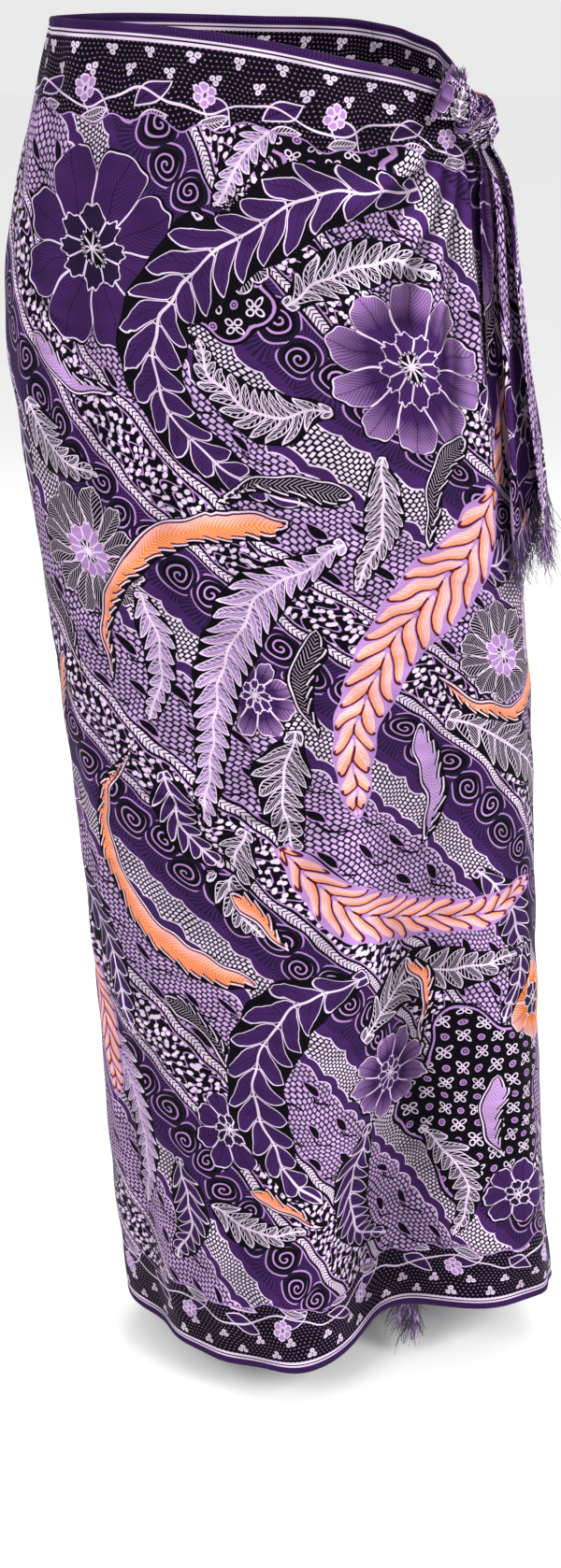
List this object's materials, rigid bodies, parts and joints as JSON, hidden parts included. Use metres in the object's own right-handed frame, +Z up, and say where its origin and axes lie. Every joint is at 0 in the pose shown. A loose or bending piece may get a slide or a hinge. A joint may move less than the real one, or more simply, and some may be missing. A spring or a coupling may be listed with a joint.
{
  "type": "batik sarong",
  "caption": "Wound batik sarong knotted at the hip: an open tube of thin printed cloth with an overlapping lap, a folded tail and yarn fringe, in its worn form.",
  "frame": {"origin": "middle of the waist opening, at the height of the waist edge on the left and at the back", "axes": "+Z up along the worn sarong, -Y towards its front, +X towards the hip with the knot"},
  "size_m": [0.4377, 0.2667, 1.0831],
  "materials": {
    "cloth_front": "printed rayon, soft low sheen, purple, lilac, black and peach",
    "cloth_back": "printed rayon, soft low sheen, purple, lilac and black",
    "cloth_inner": "printed rayon, soft low sheen, purple, lilac and black",
    "cloth_knot": "printed rayon, gathered, soft low sheen",
    "cloth_tail": "printed rayon, folded, soft low sheen",
    "fringe_yarn": "loose rayon yarn, black, purple and lilac"
  },
  "bodies": {
    "root": {"front_wrap": "cloth_front", "back_wrap": "cloth_back", "inner_lap": "cloth_inner", "knot_core": "cloth_knot", "knot_wrap": "cloth_knot", "tail_long": "cloth_tail", "tail_short": "cloth_tail", "fringe_outer": "fringe_yarn", "fringe_inner": "fringe_yarn", "fringe_tail_long": "fringe_yarn", "fringe_tail_short": "fringe_yarn"}
  },
  "joints": []
}
